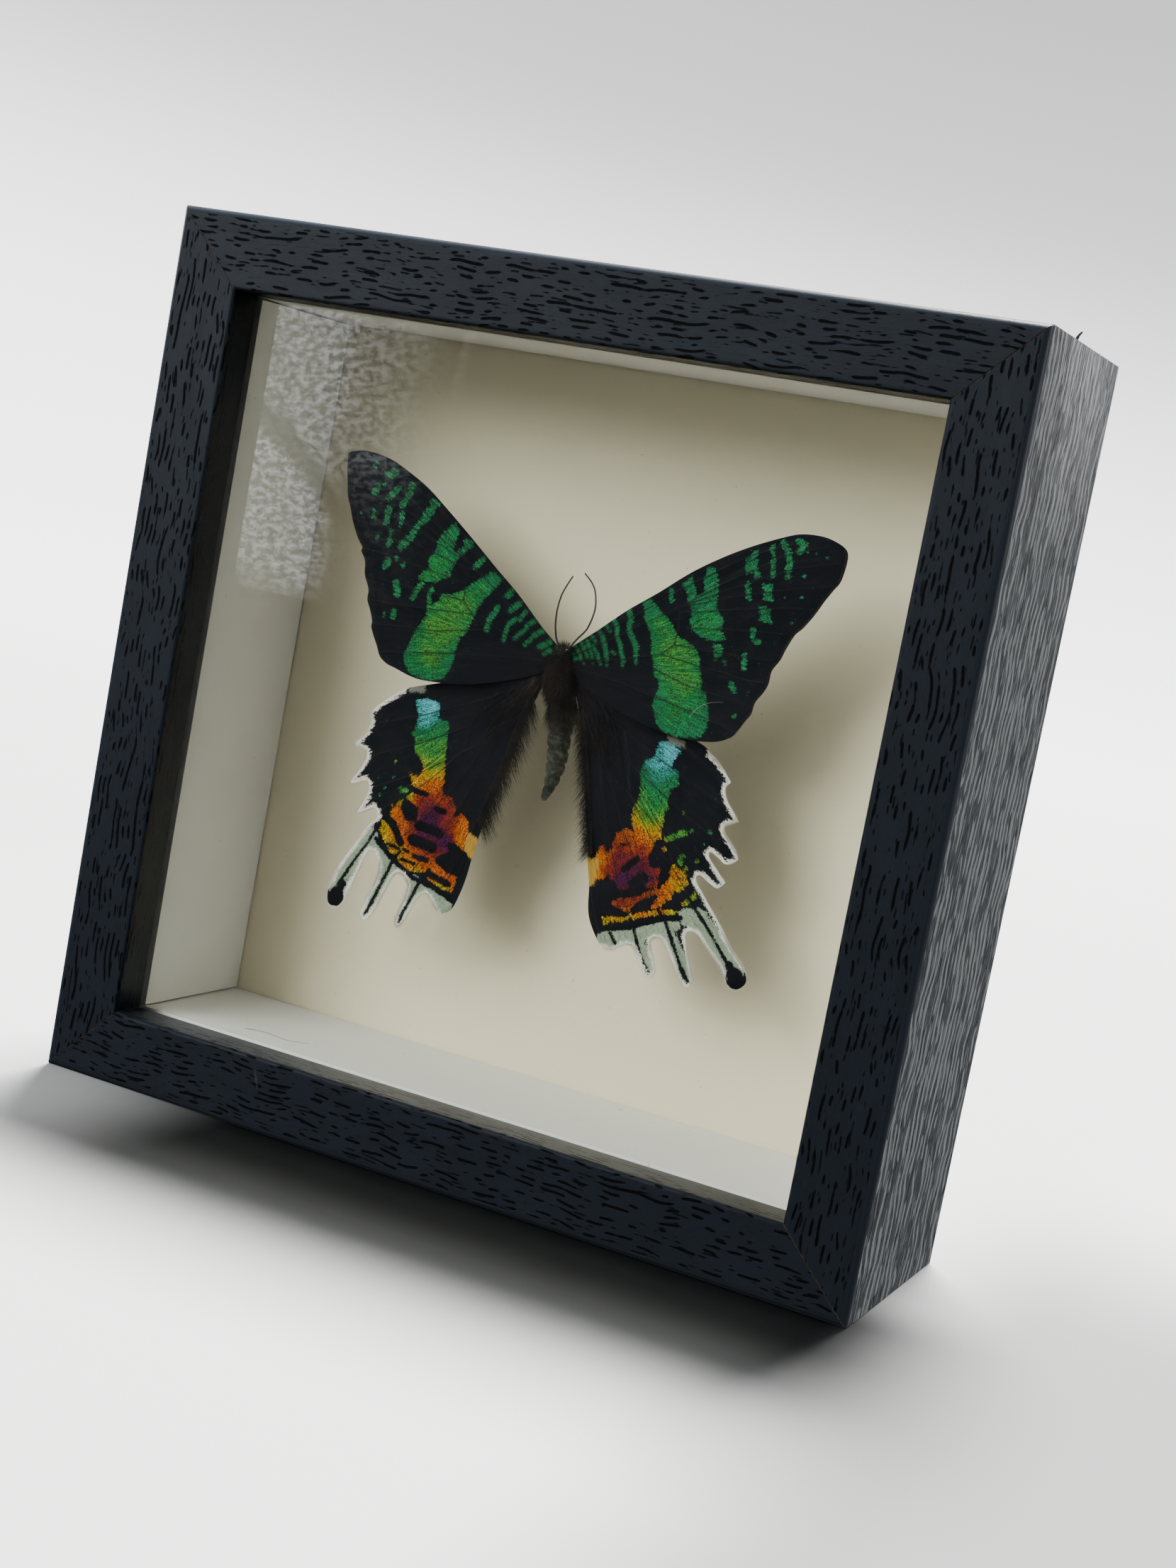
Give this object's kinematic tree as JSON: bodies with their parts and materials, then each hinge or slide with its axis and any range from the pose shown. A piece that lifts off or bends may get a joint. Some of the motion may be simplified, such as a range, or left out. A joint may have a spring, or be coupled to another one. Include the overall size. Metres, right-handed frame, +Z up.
{
  "type": "framed moth specimen",
  "caption": "Spread day-flying moth with green-banded forewings and tailed hindwings, pinned inside a square glazed box frame with white spacers and a cream board.",
  "frame": {"origin": "middle of the flat underside of the box frame", "axes": "+Z up, -Y out of the glass front, +X to the right seen from the front"},
  "size_m": [0.15, 0.045, 0.15],
  "materials": {
    "frame_foil": "dark slate wood-grain foil on moulding, satin",
    "glass": "clear picture glass",
    "white_spacer": "white card",
    "cream_board": "cream mounting board, matt paper",
    "fibreboard": "raw hardboard",
    "steel": "plain sheet steel",
    "brass": "brassed steel nail",
    "moth_fur": "dark furry body",
    "wing_scales": "scaled wings, black with metallic green, blue and orange bands",
    "antenna": "dark brown thread"
  },
  "bodies": {
    "root": {"rail_bottom": "frame_foil", "rail_right": "frame_foil", "rail_top": "frame_foil", "rail_left": "frame_foil", "tab_bottom_a": "steel", "tab_bottom_b": "steel", "tab_right_a": "steel", "tab_right_b": "steel", "tab_top_a": "steel", "tab_top_b": "steel", "tab_left_a": "steel", "tab_left_b": "steel", "glass_pane": "glass", "mount_board": "cream_board", "spacer_bottom": "white_spacer", "spacer_top": "white_spacer", "spacer_left": "white_spacer", "spacer_right": "white_spacer", "back_panel": "fibreboard", "hanger": "steel", "hanger_nail_left": "brass", "hanger_nail_right": "brass", "moth_body": "moth_fur", "forewing_right": "wing_scales", "forewing_left": "wing_scales", "hindwing_right": "wing_scales", "hindwing_left": "wing_scales", "antenna_right": "antenna", "antenna_left": "antenna", "specimen_pin": "steel"}
  },
  "joints": []
}
